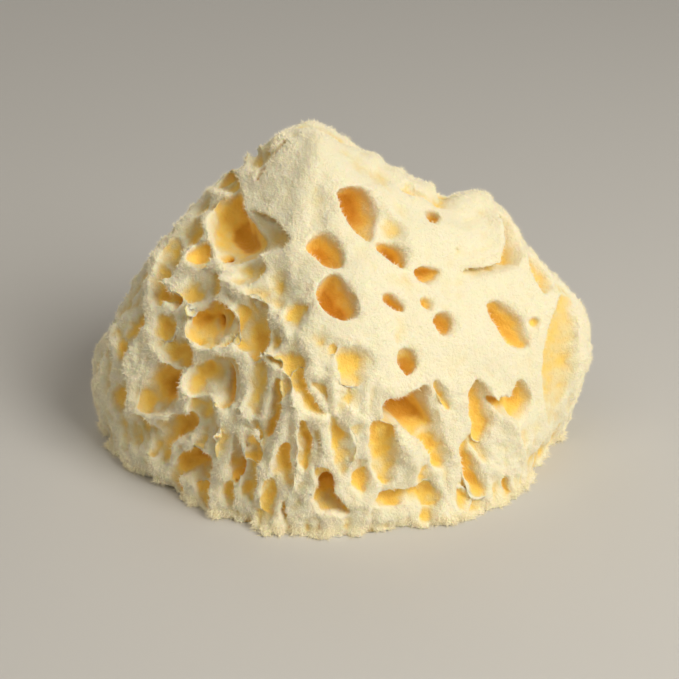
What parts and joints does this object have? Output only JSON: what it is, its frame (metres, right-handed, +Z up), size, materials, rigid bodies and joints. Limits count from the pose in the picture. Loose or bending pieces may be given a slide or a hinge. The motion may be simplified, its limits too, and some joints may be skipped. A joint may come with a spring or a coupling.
{
  "type": "sea sponge",
  "caption": "Natural honeycomb sea sponge, a soft cream mound full of pores, resting on its flat cut base.",
  "frame": {"origin": "middle of the bounding box on the flat cut base that the sponge rests on", "axes": "+Z up from the cut base, +X along the sponge's length to the right of the picture, -Y towards the viewer"},
  "size_m": [0.1452, 0.1064, 0.0941],
  "materials": {
    "sponge_fibre": "matte"
  },
  "bodies": {
    "root": {"sponge": "sponge_fibre"}
  },
  "joints": []
}
